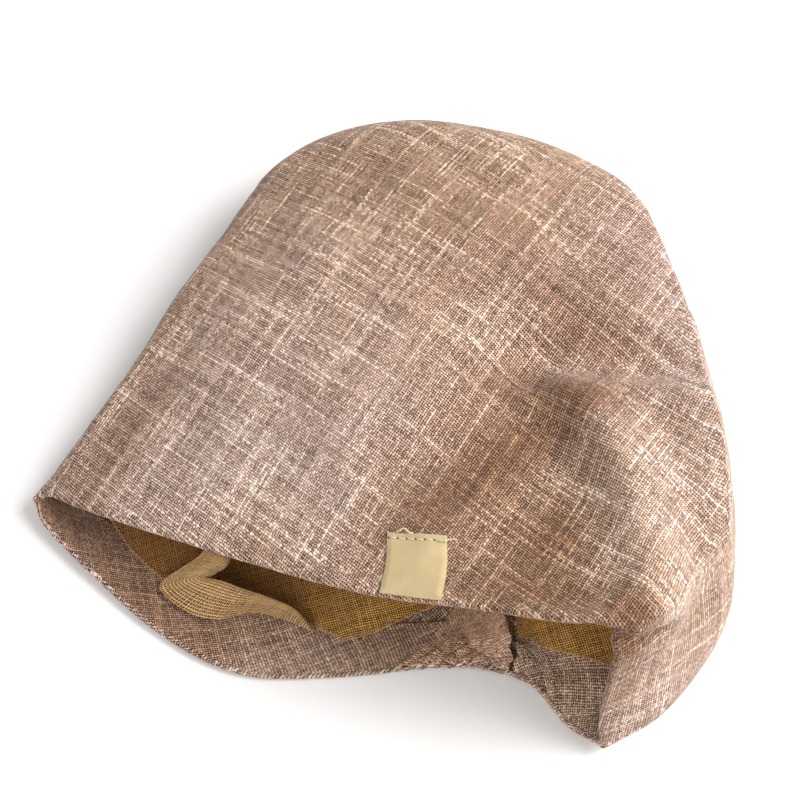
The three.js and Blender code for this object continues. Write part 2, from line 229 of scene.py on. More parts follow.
def fold_lift(folds, x, y):
    """Sum over the folds of a bell across each one's curve, exp(-(distance / spread) squared),
    times its height there, fading at both ends. The curve is the parabola through its points."""
    total = np.zeros(np.shape(x))
    pieces = 24
    steps = np.linspace(0, 1, pieces + 1)
    for f in folds:
        bend = [(1 - steps) ** 2, 2 * steps * (1 - steps), steps**2]
        cx = sum(b * v for b, v in zip(bend, f["x"]))
        cy = sum(b * v for b, v in zip(bend, f["y"]))
        dx, dy = np.diff(cx), np.diff(cy)
        ex, ey = x[..., None] - cx[:-1], y[..., None] - cy[:-1]
        q = np.clip((ex * dx + ey * dy) / (dx * dx + dy * dy), 0, 1)
        away = np.hypot(ex - q * dx, ey - q * dy)
        best = away.argmin(-1)[..., None]
        pick = lambda a: np.take_along_axis(a, best, -1)[..., 0]  # the value on the nearest piece
        along = pick((np.arange(pieces) + q) / pieces)
        side = pick(dx * (ey - q * dy) - dy * (ex - q * dx))
        spread = np.where(side > 0, f["left"], f["right"])
        height = f["lift"][0] + (f["lift"][1] - f["lift"][0]) * along
        ends = np.sqrt(np.sin(np.pi * (0.08 + 0.84 * along)))
        total += height * np.exp(-((pick(away) / spread) ** 2)) * ends
    return total


def hem_share(up, reach):
    """1 at the hem, easing to 0 at that reach up the bag."""
    q = np.minimum(1, up / reach)
    return (1 - q) ** 2 * (1 + 2 * q)


def front_height(across, up):
    """Height of the front panel: up round the fold's quarter circle to twice the fold line's
    height, and from there up to the height that RISE gives, by how far the middle is bellied."""
    fold = fold_height(across, up)
    belly = np.sqrt(np.maximum(0, 1 - across**2)) ** 1.3 * np.sqrt(1 - up**5)
    shares = through(RISE_ACROSS, np.eye(len(RISE_ACROSS)), across)
    rise = (shares * through(RISE_UP, RISE, up)).sum(-1)
    return fold * (1 + fold_share(across, up, fold)) + (rise - 2 * fold) * belly


def front_panel(across, up):
    """The front panel's plan and height, brought to the hem's own heights near the hem, with the
    large folds added away from the hem, the crown and the sides."""
    p = panel_plan(FRONT_HEM, across, up)
    hem = through(FRONT_HEM["across"], FRONT_HEM["z"], across) - front_height(across, 0 * up)
    middle = np.minimum.reduce(
        [np.ones_like(up), 1.6 * np.sqrt(np.maximum(0, 1 - across**2)), 6 * (1 - up), 10 * up]
    )
    p[..., 0] += LIP[0] * np.exp(-(((across - LIP[1]) / LIP[2]) ** 2)) * hem_share(up, LIP_REACH)
    z = front_height(across, up) + hem * hem_share(up, FRONT_REACH)
    z += fold_lift(FRONT_FOLDS, p[..., 0], p[..., 1]) * middle
    return np.concatenate([p, z[..., None]], -1)


def back_panel(across, up):
    """Flat on the surface inside the folds: the fold's height times what its circle leaves."""
    p = panel_plan(BACK_HEM, across, up)
    height = lambda at: fold_height(across, at) * (1 - fold_share(across, at, fold_height(across, at)))
    hem = through(BACK_HEM["across"], BACK_HEM["z"], across) - height(0 * up)
    z = np.maximum(0, height(up) + hem * hem_share(up, BACK_REACH))
    return np.concatenate([p, z[..., None]], -1)


def outside(turn, up):
    """Points of the hat's outside. turn runs from 0 at the left fold, over the front panel to a
    half at the right fold, and back under the hat to 1. up is 0 at the hem and 1 at the crown."""
    turn, up = np.broadcast_arrays(np.asarray(turn, float), np.asarray(up, float))
    across = np.clip(-np.cos(2 * np.pi * turn), -1, 1)
    over = (np.sin(2 * np.pi * turn) >= 0)[..., None]
    return np.where(over, front_panel(across, up), back_panel(across, up))


CREASES = [  # smaller dents and ridges of the front panel, which sit on the large folds above
    dict(x=(82, 85, 60), y=(-112, -66, -20), lift=(4.5, 6), left=9, right=8),
    dict(x=(101, 104, 86), y=(-112, -66, -22), lift=(-3, -3.5), left=8, right=9),
    dict(x=(60, 62, 46), y=(-104, -64, -26), lift=(-1.5, -2), left=18, right=13),
    dict(x=(34, 72, 118), y=(-20, -10, -18), lift=(-3, -4), left=9, right=6),
    dict(x=(30, 20, -10), y=(-20, -50, -84), lift=(-2, -2), left=14, right=12),
    dict(x=(-96, -60, -30), y=(-20, 10, 50), lift=(2, 2), left=14, right=14),
]
CLOTH = 1.4
HEM_ROLL = 1.42  # half the thickness of the turned hem
HEM_BAND = 3.4  # width of the soft band along the hem
TURNED_IN = 1.8  # the cloth shows this far in from the edge before the facing starts
PUCKERED = (40.4, 46.4)  # columns between which the elastic draws the hem in
TURNS = 384  # points round the bag
FLAT_POINTS = 37  # points each way on a panel when it is laid flat
FLAT_PASSES = 40  # how often it is relaxed then


def ripple(p, size, seed, waves=14):
    """Smooth unevenness from -1 to 1: a mean of sine waves of about that length, each in a random
    direction and phase."""
    draw = np.random.default_rng(seed)
    way = draw.normal(size=(waves, 3))
    way *= (2 * np.pi / size * draw.uniform(0.7, 1.4, waves) / np.linalg.norm(way, axis=1))[:, None]
    return np.sin(p @ way.T + draw.uniform(0, 6.283, waves)).sum(-1) / math.sqrt(waves) / 1.6


def unit(vectors):
    """The vectors divided by their lengths."""
    return vectors / np.maximum(np.linalg.norm(vectors, axis=-1, keepdims=True), 1e-9)


def bag_normals(p):
    """Outward unit normals of a bag's grid of rows by columns. Each is the cross product of the
    differences round the ring and up the column, and the crown row shares its own front to back."""
    round_it = np.roll(p, -1, 1) - np.roll(p, 1, 1)
    n = unit(np.cross(round_it, np.gradient(p, axis=0)))
    mirror = -np.arange(p.shape[1]) % p.shape[1]
    n[-1] += n[-1, mirror]
    for last in (-1, -2):
        n[last] += 0.5 * (np.roll(n[last], 1, 0) + np.roll(n[last], -1, 0))
        corners = [0, p.shape[1] // 2]
        n[last, corners] += p[last - 4, corners] - p[last - 4, corners[::-1]]
    return unit(n)


def gathers(column):
    """A sine from -1 to 1, about three waves to a column, with two slower sines in its phase."""
    return np.sin(column * 2 * np.pi * 3.1 + 1.1 * np.sin(column * 5.1) + 0.8 * np.sin(column * 2.3))


def hem_puckers(turn, up):
    """Height of the puckers that the nape's elastic draws into the hem, in millimetres. They are
    the gathers, faded by a bell up the bag and at both ends of the elastic."""
    column = turn * COLUMNS
    inside = np.clip(np.minimum(column - PUCKERED[0], PUCKERED[1] - column) / 0.8, 0, 1)
    fade = np.exp(-((up * BAG_DEPTH / 16) ** 2))
    return inside * fade * (0.9 + 0.9 * gathers(column))


DENTS = dict(  # lines from point 0 to point 1, how far the cloth stands out there, their spread
    x0=[64, 66, 76, 86],
    y0=[-126, -124, -140, -122],
    z0=[56, 62, 22, 50],
    x1=[92, 97, 74, 96],
    y1=[-119, -115, -134, -70],
    z1=[46, 55, 38, 57],
    out=[-6, 2, 2.4, 1.5],
    spread=[4.5, 6, 8, 9],
)
# Positive shares are painted shade: in the hollows, under the hem's overhang at the right, and low on
# the panel by the hem. Negative ones are painted highlight, as along the ridge's crest.
SHADE_AND_HIGHLIGHT = dict(  # painted shade of the front panel in plan, browner, and painted highlight, paler, as soft ellipses
    x=[46, 12, 50, 60, -105, 25, -10, 84, 75, -50, -60, 66, 46, 70, 56, 38, 56, 70, 73],
    y=[-42, -70, -88, 22, -30, -2, 80, -76, -128, 5, -60, -24, -110, -2, -54, -18, -72, -84, -32],
    long=[30, 38, 26, 50, 40, 13, 60, 40, 16, 50, 60, 20, 44, 24, 10, 16, 15, 16, 10],
    wide=[18, 14, 17, 26, 11, 13, 22, 8, 8, 34, 16, 9, 11, 9, 7, 10, 11, 7, 7],
    angle=[20, 35, 0, -15, 55, 15, 0, 104, 75, 60, -25, -15, -12, -15, 80, 0, 90, 100, 0],
    share=[
        0.8, 0.95, 1.0, 0.65, 0.75, -0.35, 0.2, -0.5, 0.8, -0.2, -0.15, 0.7, 1.0, 0.5, -0.4, 0.6, 0.5,
        -0.5, 0.45,
    ],
)
MAUVE_AND_SHEEN = dict(  # places that are more mauve, in the same way: partly the cloth's own mauve-grey, partly painted sheen on lit slopes
    x=[106, -25, 60, -70, -12, 100, 83],
    y=[-52, -62, -140, -40, -18, 14, -74],
    long=[74, 45, 30, 50, 32, 40, 46],
    wide=[24, 28, 20, 30, 24, 11, 12],
    angle=[95, -20, 0, 40, 20, 112, 104],
    share=[0.9, 0.6, 0.5, 0.35, 0.5, 0.7, 0.7],
)


def along_lines(p, lines):
    """Sum over a table's lines of a bell across each line in space, exp(-(distance / spread)
    squared), times how far the cloth stands out there."""
    total = np.zeros(p.shape[:-1])
    for x0, y0, z0, x1, y1, z1, out, spread in zip(*lines.values()):
        start, way = np.array([x0, y0, z0]), np.array([x1 - x0, y1 - y0, z1 - z0])
        q = np.clip((p - start) @ way / (way @ way), 0, 1)
        away = np.linalg.norm(p - start - q[..., None] * way, axis=-1)
        total += out * np.exp(-((away / spread) ** 2))
    return total


def spots(p, table):
    """Sum over a table's ellipses of a bell over each one, in plan, times its share."""
    total = np.zeros(p.shape[:-1])
    for x, y, long, wide, angle, share in zip(*table.values()):
        turn = math.radians(angle)
        dx, dy = p[..., 0] - x, p[..., 1] - y
        a = (dx * math.cos(turn) + dy * math.sin(turn)) / long
        b = (dy * math.cos(turn) - dx * math.sin(turn)) / wide
        total += share * np.exp(-(a * a + b * b))
    return total


turns = np.arange(TURNS) / TURNS
HEM_ROWS, CROWN_ROWS = 9, 200  # rows lie closer together below the first and past the second
rises = [[0, 0.7], np.linspace(HEM_ROLL, HEM_ROWS, 9)[:-1], np.linspace(HEM_ROWS, CROWN_ROWS, 112)]
rises = np.concatenate(rises) / BAG_DEPTH
crown_rows = (1 - CROWN_ROWS / BAG_DEPTH) * (1 - np.linspace(0, 1, 31)[1:]) ** 1.6
rises = np.concatenate([rises, 1 - crown_rows])
turn_grid, rise_grid = np.meshgrid(turns, rises)
shell = outside(turn_grid, rise_grid)
above = np.sin(2 * np.pi * turn_grid) > 0
middle = np.clip(np.minimum(2 * np.abs(np.sin(2 * np.pi * turn_grid)), 8 * (1 - rise_grid)), 0, 1)
creases = fold_lift(CREASES, shell[..., 0], shell[..., 1])
shell[..., 2] += above * middle * np.minimum(1, 14 * rise_grid + 0.25) * creases
uneven = 0.8 * ripple(shell, 46, 3) + 0.4 * ripple(shell, 21, 5) + 0.2 * ripple(shell, 8, 7)
band = rise_grid * BAG_DEPTH
uneven -= 0.3 * np.exp(-(((band - HEM_BAND) / 1.2) ** 2))
calm = np.minimum(1, 0.35 + 6 * rise_grid) * np.where(above, 1, 0.4)
calm *= np.clip((1 - rise_grid) * 7 + 0.25, 0, 1) * (0.2 + 0.8 * middle)
uneven = uneven * calm + above * along_lines(shell, DENTS)
shell += bag_normals(shell) * uneven[..., None]
shell[..., 2] = np.maximum(shell[..., 2], 0) + hem_puckers(turn_grid, rise_grid)
shell_normals = bag_normals(shell)


def read_grid(grid, row, column, first=0):
    """A grid read at fractional rows and columns: the four values round each place, mixed by how
    near it lies to them. Before the row called first, it goes on in straight lines."""
    r = np.clip(np.floor(row).astype(int), first, len(grid) - 2)
    c = np.floor(column).astype(int)
    fr, fc = (row - r)[..., None], (column - c)[..., None]
    c, d = c % grid.shape[1], (c + 1) % grid.shape[1]
    low = (1 - fc) * grid[r, c] + fc * grid[r, d]
    return (1 - fr) * low + fr * ((1 - fc) * grid[r + 1, c] + fc * grid[r + 1, d])


def ply(turn, up, depth):
    """Points at a depth under the outside, square to it."""
    turn, up, depth = np.broadcast_arrays(np.asarray(turn, float), up, depth)
    row = np.interp(up, rises, np.arange(len(rises)))
    column = np.mod(turn, 1) * TURNS
    out = read_grid(shell_normals, row, column)
    return read_grid(shell, row, column) - depth[..., None] * out


def flattened(turn, up):
    """A panel laid flat, in millimetres, and its plan, both as complex numbers. It starts as a
    rectangle. Each pass turns every triangle's real shape to fit the panel as it lies so far, and
    moves the points to where all edges together come nearest to the turned shapes, weighted by
    the cotangents of the angles facing them."""
    real = ply(*np.meshgrid(turn, up), 0)
    number = np.arange(real[..., 0].size).reshape(real.shape[:2])
    a, b, c, d = number[:-1, :-1], number[:-1, 1:], number[1:, 1:], number[1:, :-1]
    corners = [np.stack(three, -1).reshape(-1, 3) for three in ((a, b, c), (a, c, d))]
    corners = np.concatenate(corners)
    points = real.reshape(-1, 3)[corners]
    first, second = points[:, 1] - points[:, 0], points[:, 2] - points[:, 0]
    base = np.maximum(np.linalg.norm(first, axis=-1), 1e-6)
    height = np.maximum(np.linalg.norm(np.cross(first, second), axis=-1) / base, 1e-6)
    shape = np.stack([0 * base, base, (first * second).sum(-1) / base + 1j * height], -1)
    system = np.zeros((number.size, number.size))
    edges = []
    for i, j, k in ((0, 1, 2), (1, 2, 0), (2, 0, 1)):
        corner = (shape[:, i] - shape[:, k]) * (shape[:, j] - shape[:, k]).conj()
        weight = np.clip(corner.real / np.maximum(np.abs(corner.imag), 1e-6), 0.02, 20)
        edges.append((corners[:, i], corners[:, j], (shape[:, i] - shape[:, j]) * weight))
        for s, t in (corners[:, [i, j]].T, corners[:, [j, i]].T):
            np.add.at(system, (s, s), weight)
            np.add.at(system, (s, t), -weight)
    system[0, 0] += 1
    inverse = np.linalg.inv(system)
    across = np.linalg.norm(np.diff(real, axis=1), axis=-1).mean(0)
    along = np.linalg.norm(np.diff(real, axis=0), axis=-1).mean(1)
    flat = np.append(0, np.cumsum(across)) + 1j * np.append(0, np.cumsum(along))[:, None]
    flat = flat.ravel()
    for _ in range(FLAT_PASSES):
        fit = sum((flat[i] - flat[j]) * edge.conj() for i, j, edge in edges)
        wanted = np.zeros_like(flat)
        for i, j, edge in edges:
            np.add.at(wanted, i, edge * fit / np.abs(fit))
            np.add.at(wanted, j, -edge * fit / np.abs(fit))
        flat = inverse @ wanted
    return flat.reshape(number.shape), real[..., 0] + 1j * real[..., 1]


def laid_on(flat, points, wanted):
    """flat turned and moved as one so that those points of it come nearest to the wanted ones."""
    fit = ((wanted - wanted.mean()) * (points - points.mean()).conj()).sum()
    return (flat - points.mean()) * fit / abs(fit) + wanted.mean()


def counted(panel, angle, bend, fan):
    """Distance counted across yarns that run at an angle through the middle of the panel. They
    turn by bend radians for each millimetre along them and by fan for each one across."""
    turned = panel * np.exp(-1j * angle)
    return turned.imag - bend * turned.real**2 / 2 - fan * turned.imag * turned.real


def finer(flat):
    """A panel's flat places read at every point of the fine grid, row by row and column by column,
    since both grids have their rows at even shares of the fine grid's row numbers."""
    share = np.linspace(0, 1, len(flat))
    fine = through(share, flat, np.linspace(0, 1, len(rises))).T
    return through(share, fine, np.linspace(0, 1, TURNS // 2 + 1)).T


flat_up = np.interp(np.linspace(0, 1, FLAT_POINTS), np.linspace(0, 1, len(rises)), rises)
front_flat, front_plan = flattened(np.linspace(0, 0.5, FLAT_POINTS), flat_up)
front_flat = laid_on(front_flat, front_flat, front_plan)
back_flat = flattened(np.linspace(0.5, 1, FLAT_POINTS), flat_up)[0]
back_flat = laid_on(back_flat, back_flat[:, 0], front_flat[:, -1])  # joined at the right fold
panels = np.stack([finer(front_flat), finer(back_flat)])
warp = counted(panels, math.radians(55), -0.0004, -0.00045)
weft = counted(panels, math.radians(-41), -0.0002, 0.0002)
grain = np.stack([warp, weft], -1) * MM


def at_rows(values, order, first=0):
    """Values of both panels read at fractional rows. Each column has its own rows, or all share
    one list. Before the row called first, they go on as they do there, which carries the yarns
    round the hem's edge."""
    order = np.broadcast_to(order, (len(order), TURNS))
    column = np.arange(TURNS // 2 + 1)
    rows = [order[:, (column + start) % TURNS] for start in (0, TURNS // 2)]
    return np.stack([read_grid(panel, row, column, first) for panel, row in zip(values, rows)])


def bag_mesh(name, rows, yarns, tones):
    """A closed bag: rings of points from the outer crown down to the hem and up again inside. The
    first and last rings are zipped front to back. yarns holds each panel's yarn coordinates, and
    tones the values of named attributes at each point."""
    count, around = rows.shape[:2]
    number = np.arange(count * around).reshape(count, around)
    mirror = -np.arange(around) % around
    for end in (0, -1):
        number[end] = np.minimum(number[end], number[end, mirror])
    right = np.roll(number, -1, 1)
    quads = np.stack([number[:-1], number[1:], right[1:], right[:-1]], -1)
    loops = [np.stack([y[:-1, :-1], y[1:, :-1], y[1:, 1:], y[:-1, 1:]], -2) for y in yarns]
    loops = np.concatenate(loops, 1)
    used, quads = np.unique(quads, return_inverse=True)
    points = (rows.reshape(-1, 3)[used] - MIDDLE) * MM
    piece = cloth_object(name, points, quads.reshape(-1, 4), loops.reshape(-1, 2))
    for label, values in tones.items():
        give(piece, label, values.reshape(-1)[used])
    return piece


def give(piece, label, values):
    """A named attribute of one number at each point."""
    layer = piece.data.attributes.new(label, "FLOAT", "POINT")
    layer.data.foreach_set("value", np.asarray(values, np.float32).ravel())


def cloth_object(name, points, quads, yarns):
    """A smooth mesh object with its yarn coordinates as its UV map."""
    a, b, c, d = (points[quads[:, k]] for k in range(4))
    if (np.cross(c - a, d - b) * (a + b + c + d)).sum() < 0:
        quads = quads[:, ::-1]
        yarns = yarns.reshape(-1, 4, 2)[:, ::-1].reshape(-1, 2)
    mesh = bpy.data.meshes.new(name)
    mesh.from_pydata(points, [], quads.tolist())
    mesh.uv_layers.new(name="yarns").data.foreach_set("uv", yarns.ravel())
    mesh.shade_smooth()
    piece = bpy.data.objects.new(name, mesh)
    bpy.context.scene.collection.objects.link(piece)
    return piece


def turned_in(inner_rows, wall):
    """Rows of a bag's wall from the outer crown to the hem and back: the outside, a half circle
    round the hem's edge, the thick turned edge, and the inside one wall deeper."""
    start = int(np.searchsorted(rises, HEM_ROLL / BAG_DEPTH - 1e-9))
    down = unit(shell[start] - shell[start + 2])
    turn = np.linspace(0, np.pi, 8)[1:]
    sideways, forwards = (np.cos(turn) - 1)[:, None, None], np.sin(turn)[:, None, None]
    lip = HEM_ROLL * (sideways * shell_normals[start] + forwards * down)
    inner = np.interp(inner_rows, rises, np.arange(len(rises)))
    turned = inner_rows * BAG_DEPTH < TURNED_IN
    inside = ply(turns, inner_rows[:, None], np.where(turned, 2 * HEM_ROLL, wall)[:, None])
    points = np.concatenate([shell[:start - 1:-1], shell[start] + lip, inside])
    row_size = (rises[start + 2] - rises[start + 1]) * BAG_DEPTH
    round_hem = start - HEM_ROLL * turn / row_size
    inner[turned] = round_hem[-1] - (inner_rows[turned] * BAG_DEPTH - HEM_ROLL) / row_size
    return points, np.concatenate([np.arange(len(rises) - 1, start - 1, -1.0), round_hem, inner])


inner_rows = np.concatenate([[1.7, 1.95, 3, 4.6], np.linspace(7, 225, 34), [230.5]]) / BAG_DEPTH
inner_rows = np.append(inner_rows, 1)
shell_rows, shell_order = turned_in(inner_rows, CLOTH)
front_columns = np.sin(2 * np.pi * turns) > -1e-9
# tone carries the front panel's painted shade and highlight; mauve carries the mauve places with their
# painted sheen
shell_tones = dict(tone=spots(shell_rows, SHADE_AND_HIGHLIGHT) * front_columns, mauve=spots(shell_rows, MAUVE_AND_SHEEN))
shell_grain = at_rows(grain, shell_order[:, None], 3)
crown_shell = bag_mesh("slub_shell", shell_rows, shell_grain, shell_tones)


def new_group(name, inputs, outputs):
    """An empty shader group, with its sockets, and its input and output nodes."""
    tree = bpy.data.node_groups.new(name, "ShaderNodeTree")
    for label, kind, value in inputs:
        socket = tree.interface.new_socket(label, in_out="INPUT", socket_type="NodeSocket" + kind)
        if value is not None:
            socket.default_value = value
    for label, kind in outputs:
        tree.interface.new_socket(label, in_out="OUTPUT", socket_type="NodeSocket" + kind)
    return tree, tree.nodes.new("NodeGroupInput").outputs, tree.nodes.new("NodeGroupOutput").inputs


def calc(tree, operation, *values, clamp=False):
    """The output of a Math node with those inputs, which are sockets or numbers."""
    node = tree.nodes.new("ShaderNodeMath")
    node.operation, node.use_clamp = operation, clamp
    for socket, value in zip(node.inputs, values):
        feed(tree, socket, value)
    return node.outputs[0]


def between(tree, value, low, high, to_low=0.0, to_high=1.0):
    """value eased from the range low to high onto the range to_low to to_high."""
    node = tree.nodes.new("ShaderNodeMapRange")
    node.interpolation_type = "SMOOTHSTEP"
    fill(tree, node.inputs, Value=value, From_Min=low, From_Max=high, To_Min=to_low, To_Max=to_high)
    return node.outputs["Result"]


def tint(tree, share, first, second, blend="MIX"):
    """Two colours mixed by a share, or blended another way."""
    node = tree.nodes.new("ShaderNodeMix")
    node.data_type, node.blend_type = "RGBA", blend
    for k, value in ((0, share), (6, first), (7, second)):
        feed(tree, node.inputs[k], value)
    return node.outputs[2]


def product(tree, first, second):
    """One colour times another."""
    return tint(tree, 1.0, first, second, "MULTIPLY")


def noise(tree, at, scale, detail):
    """Smooth noise at a place, as a value from 0 to 1."""
    node = tree.nodes.new("ShaderNodeTexNoise")
    fill(tree, node.inputs, Vector=at, Scale=scale, Detail=detail)
    return node.outputs["Fac"]


def chance(tree, at, kind):
    """White noise: a number from 0 to 1 of its own for each whole number, or each pair of them."""
    node = tree.nodes.new("ShaderNodeTexWhiteNoise")
    node.noise_dimensions = kind
    feed(tree, node.inputs["W" if kind == "1D" else "Vector"], at)
    return node.outputs["Value"]


def joined(tree, x, y, z=0.0):
    """A vector of those parts."""
    node = tree.nodes.new("ShaderNodeCombineXYZ")
    fill(tree, node.inputs, X=x, Y=y, Z=z)
    return node.outputs[0]


def parts(tree, vector):
    """A vector's first two parts."""
    node = tree.nodes.new("ShaderNodeSeparateXYZ")
    feed(tree, node.inputs[0], vector)
    return node.outputs[0], node.outputs[1]


def make_weave():
    """Plain weave. Across each yarn its height is a parabola of its own width, and along it a
    cosine that takes it over one crossing yarn and under the next. Noise that is long in the
    yarn's direction picks the slubs, where a yarn is thicker and paler, alone or as two side by
    side by side. Where neither yarn covers, there is a gap, coloured with painted shade, and each yarn
    darkens towards that shade where it dips."""
    tree, given, out = new_group(
        "plain weave",
        [("Yarns", "Vector", None), ("Pitch", "Float", 0.00076), ("Cover", "Float", 0.54),
         ("Slubs", "Float", 1.0), ("Slub length", "Float", 0.05), ("Wander", "Float", 0.3),
         ("Yarn A", "Color", (0.5, 0.4, 0.3, 1)), ("Yarn B", "Color", (0.4, 0.3, 0.2, 1)),
         ("Slub", "Color", (0.8, 0.7, 0.6, 1)), ("Gap", "Color", (0.1, 0.07, 0.04, 1))],
        [("Color", "Color"), ("Height", "Float"), ("Gap", "Float"), ("Slub", "Float")],
    )
    do, ease, cloud, at = (partial(f, tree) for f in (calc, between, noise, joined))
    cells = tree.nodes.new("ShaderNodeVectorMath")
    cells.operation = "SCALE"
    feed(tree, cells.inputs[0], given["Yarns"])
    feed(tree, cells.inputs["Scale"], do("DIVIDE", 1.0, given["Pitch"]))
    counts = parts(tree, cells.outputs[0])
    place, index, part = [], [], []
    for k in (0, 1):
        own, other = counts[k], counts[1 - k]
        slow = cloud(at(own, other, 7.0 * k), 0.045, 3)
        quick = cloud(at(own, other, 5.0 + 9 * k), 0.31, 1)
        sway = do("MULTIPLY_ADD", slow, 4.0, do("MULTIPLY", quick, 0.9))
        place.append(do("MULTIPLY_ADD", sway, given["Wander"], own))
        index.append(do("FLOOR", place[k]))
        part.append(do("SUBTRACT", do("SUBTRACT", place[k], index[k]), 0.5))
    both = do("MULTIPLY", do("ADD", *index), 0.5)
    sign = do("MULTIPLY_ADD", do("FRACT", both), -4.0, 1.0)  # 1 or -1 by turns, as on a chessboard
    crossing = chance(tree, at(*index), "2D")
    height, shade, slubs, covers = [], [], [], []
    for k in (0, 1):
        # each noise below is read along the yarn, in a slice of its own for each yarn's number
        along = place[1 - k]
        lone = chance(tree, do("ADD", index[k], 0.37 + 51.0 * k), "1D")
        reach = do("MULTIPLY", along, do("DIVIDE", given["Pitch"], given["Slub length"]))
        single = cloud(at(do("MULTIPLY", index[k], 17.13), reach, 3.0 + k), 1.0, 1)
        twins = do("FLOOR", do("MULTIPLY", index[k], 0.5))
        double = cloud(at(do("MULTIPLY", twins, 23.71), reach, 11.0 + k), 0.8, 1)
        knots = cloud(at(do("MULTIPLY", index[k], 9.17), along, 21.0 + k), 0.6, 2)
        slub = do("MAXIMUM", ease(single, 0.53, 0.7), ease(double, 0.6, 0.76))
        slub = do("MULTIPLY", slub, ease(knots, 0.38, 0.6, 0.08, 0.95))
        slub = do("MULTIPLY", slub, given["Slubs"])
        fuzz = cloud(at(do("MULTIPLY", index[k], 5.31), along, 31.0 + k), 0.8, 1)
        fuzz = ease(fuzz, 0.3, 0.7)
        width = do("MULTIPLY_ADD", do("SUBTRACT", lone, 0.5), 0.32, given["Cover"])
        width = do("MULTIPLY_ADD", do("SUBTRACT", fuzz, 0.5), 0.24, width)
        width = do("MULTIPLY_ADD", slub, 0.45, width)
        across = do("DIVIDE", do("MULTIPLY", part[k], 2.0), width)
        arch = do("SUBTRACT", 1.0, do("MULTIPLY", across, across))
        cover = ease(arch, 0.0, 0.25)
        wave = do("MULTIPLY", do("COSINE", do("MULTIPLY", part[1 - k], math.pi)), sign)
        wave = do("MULTIPLY", wave, (0.4, -0.4)[k])
        top = do("MULTIPLY_ADD", do("MAXIMUM", arch, 0.0), 0.5, wave)
        top = do("MULTIPLY_ADD", slub, 0.35, top)
        height.append(do("MULTIPLY_ADD", do("SUBTRACT", 1.0, cover), -1.6, top))
        speck = do("MULTIPLY_ADD", lone, 0.3, do("MULTIPLY_ADD", crossing, 0.5, -0.1))
        shade.append(do("MULTIPLY_ADD", fuzz, 0.4, speck))
        slubs.append(slub)
        covers.append(cover)
    first = do("GREATER_THAN", *height)
    upper = lambda two: do("MULTIPLY_ADD", do("SUBTRACT", *two), first, two[1])
    cover = do("MAXIMUM", *covers)
    top = do("MAXIMUM", do("MAXIMUM", *height), -0.7)
    slub = upper(slubs)
    colour = tint(tree, upper(shade), given["Yarn A"], given["Yarn B"])
    colour = tint(tree, slub, colour, given["Slub"])
    # painted shade where the yarns dip under each other, and in the gaps between them
    colour = tint(tree, ease(top, -0.1, 0.7, 0.9, 0.0), colour, given["Gap"])
    colour = tint(tree, cover, given["Gap"], colour)
    fill(tree, out, Color=colour, Height=top, Gap=do("SUBTRACT", 1.0, cover), Slub=slub)
    return tree


weave = make_weave()


def attribute(tree, name):
    """The value of a piece's named attribute."""
    node = tree.nodes.new("ShaderNodeAttribute")
    node.attribute_name = name
    return node.outputs["Fac"]


def make_cloth_tones():
    """What the cloth's colours are multiplied by. The tone attribute, with Brown added, turns them
    browner above 0, as painted shade, and paler below it, as painted highlight, and the mauve
    attribute turns them a little bluer, partly as painted sheen."""
    tree, given, out = new_group(
        "cloth tones", [("Brown", "Float", 0.0)], [("Color", "Color"), ("Mauve", "Float")]
    )
    tone = calc(tree, "ADD", attribute(tree, "tone"), given["Brown"])
    browner = calc(tree, "MULTIPLY", tone, 0.75, clamp=True)
    paler = calc(tree, "MULTIPLY", tone, -1.0, clamp=True)
    mauve = calc(tree, "MULTIPLY", attribute(tree, "mauve"), 1.0, clamp=True)
    colour = tint(tree, browner, (1, 1, 1, 1), (0.4, 0.26, 0.13, 1))
    colour = tint(tree, paler, colour, (1.25, 1.3, 1.3, 1))
    colour = tint(tree, mauve, colour, product(tree, colour, (0.96, 1.06, 1.22, 1)))
    fill(tree, out, Color=colour, Mauve=mauve)
    return tree


cloth_tones = make_cloth_tones()


def place_group(tree, group, **values):
    """A group node in a material, with its values."""
    node = tree.nodes.new("ShaderNodeGroup")
    node.node_tree = group
    fill(tree, node.inputs, **values)
    return node.outputs


def on_piece(tree):
    """The place on the piece, in its own coordinates."""
    return tree.nodes.new("ShaderNodeTexCoord").outputs["Object"]


def patches(tree, scale, detail, low, high):
    """Soft patches that lie fixed on the piece, from 0 to 1."""
    return between(tree, noise(tree, on_piece(tree), scale, detail), low, high)


def yarn_map(tree):
    """The piece's yarn coordinates."""
    node = tree.nodes.new("ShaderNodeUVMap")
    node.uv_map = "yarns"
    return node.outputs[0]


def bump(tree, height, distance, strength):
    """A normal that follows a height."""
    node = tree.nodes.new("ShaderNodeBump")
    fill(tree, node.inputs, Strength=strength, Distance=distance, Height=height)
    return node.outputs[0]


